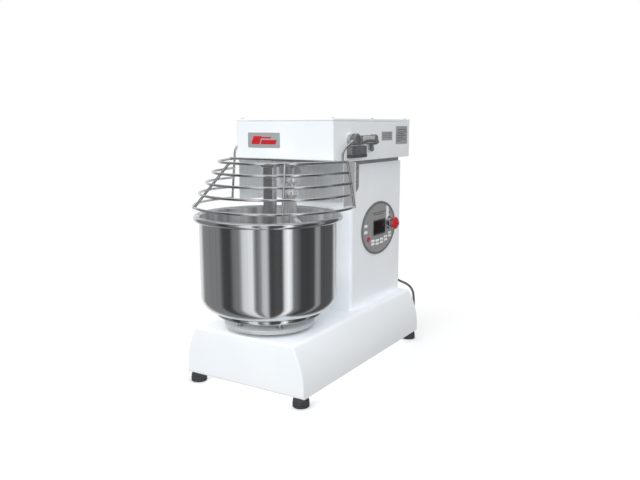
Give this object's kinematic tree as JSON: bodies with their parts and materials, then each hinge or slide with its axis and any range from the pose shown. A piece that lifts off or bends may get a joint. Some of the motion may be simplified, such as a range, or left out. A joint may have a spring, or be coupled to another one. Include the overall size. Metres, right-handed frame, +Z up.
{
  "type": "commercial stand mixer",
  "caption": "Spiral dough mixer with a fixed head, turning stainless bowl, spiral hook, breaker bar, hinged wire guard and side control panel",
  "frame": {"origin": "centre of the footprint on the floor, without the free cord", "axes": "+X to the machine's right seen from the front, +Y to the rear along its length, +Z up"},
  "size_m": [0.443, 0.8934, 0.722],
  "materials": {
    "white_paint": "smooth white enamel, semi-gloss",
    "stainless": "polished and brushed stainless steel",
    "zinc_steel": "zinc plated or cast alloy, satin",
    "printed_plate": "printed grey overlay, satin",
    "black_rubber": "black rubber and PVC, matt",
    "dark_parts": "dark grey plastic and painted steel",
    "display": "black display window, glossy",
    "key_plastic": "white embossed keys",
    "red_plastic": "red emergency stop, glossy",
    "motor_paint": "grey machine enamel"
  },
  "bodies": {
    "frame": {"base_shell": "white_paint", "base_plate": "zinc_steel", "feet": "black_rubber", "foot_studs": "zinc_steel", "bowl_bearing_housing": "zinc_steel", "bowl_bearings": "zinc_steel", "column_shell": "white_paint", "rear_cover": "white_paint", "head_seat": "dark_parts", "head_shell": "white_paint", "head_lid": "white_paint", "casing_screws": "stainless", "badge": "stainless", "side_labels": "printed_plate", "breaker_arm": "stainless", "breaker_bar": "stainless", "breaker_bolts": "stainless", "hook_bearing_housing": "zinc_steel", "hook_bearings": "zinc_steel", "rear_shield": "stainless", "shield_brackets": "dark_parts", "shield_bolts": "stainless", "pivot_bushes": "zinc_steel", "switch_body": "dark_parts", "switch_cover": "zinc_steel", "switch_gland": "dark_parts", "panel_bezel": "dark_parts", "panel_face": "printed_plate", "display_window": "display", "panel_keys": "key_plastic", "stop_collar": "stainless", "control_box": "zinc_steel", "gearmotor": "motor_paint", "gearbox": "motor_paint", "motor_bracket": "zinc_steel", "jackshaft_bearings": "zinc_steel", "hook_chain": "zinc_steel", "bowl_chain": "zinc_steel", "cord_gland": "black_rubber", "cord": "black_rubber", "cord_coil": "black_rubber", "cord_tie": "black_rubber", "plug": "black_rubber"},
    "guard": {"guard_hubs": "dark_parts", "guard_arms": "stainless", "guard_rings": "stainless", "guard_ribs": "stainless"},
    "bowl_group": {"bowl": "stainless", "bowl_ring": "stainless", "bowl_spacers": "stainless", "turntable": "dark_parts", "bowl_shaft": "stainless", "bowl_sprocket": "zinc_steel"},
    "hook_group": {"hook": "stainless", "hook_shaft": "stainless", "hook_sprocket": "zinc_steel"},
    "jackshaft_group": {"jackshaft": "stainless"},
    "stop_stem_body": {"stop_stem": "stainless"},
    "stop_button": {"stop_head": "red_plastic"},
    "lever": {"switch_lever": "dark_parts"}
  },
  "joints": [
    {"name": "guard_tilt", "type": "hinge", "parent": "frame", "child": "guard", "pos_m": [0, -0.031, 0.664], "axis": [-1, 0, 0], "range_deg": [0, 85]},
    {"name": "bowl_spin", "type": "hinge", "parent": "frame", "child": "bowl_group", "pos_m": [0, -0.186, 0.088], "axis": [0, 0, 1], "continuous": true},
    {"name": "hook_spin", "type": "hinge", "parent": "frame", "child": "hook_group", "pos_m": [0, -0.082, 0.661], "axis": [0, 0, 1], "continuous": true},
    {"name": "jackshaft_spin", "type": "hinge", "parent": "frame", "child": "jackshaft_group", "pos_m": [0, 0.13, 0.3], "axis": [0, 0, 1], "continuous": true},
    {"name": "stop_press", "type": "slide", "parent": "frame", "child": "stop_stem_body", "axis": [-1, 0, 0], "range_m": [0, 0.004], "stiffness_N_per_m": 900, "springref_m": -0.003},
    {"name": "stop_twist", "type": "hinge", "parent": "stop_stem_body", "child": "stop_button", "pos_m": [0.15, 0.282, 0.397], "axis": [1, 0, 0], "range_deg": [0, 45], "stiffness_Nm_per_rad": 0.02, "springref_deg": -11.46},
    {"name": "lever_swing", "type": "hinge", "parent": "frame", "child": "lever", "pos_m": [0.179, 0.1, 0.655], "axis": [1, 0, 0], "range_deg": [0, 3], "stiffness_Nm_per_rad": 0.3, "springref_deg": -11.46}
  ],
  "couplings": [
    {"joint": "jackshaft_spin", "follows": "bowl_spin", "ratio": 6},
    {"joint": "hook_spin", "follows": "bowl_spin", "ratio": 9}
  ]
}
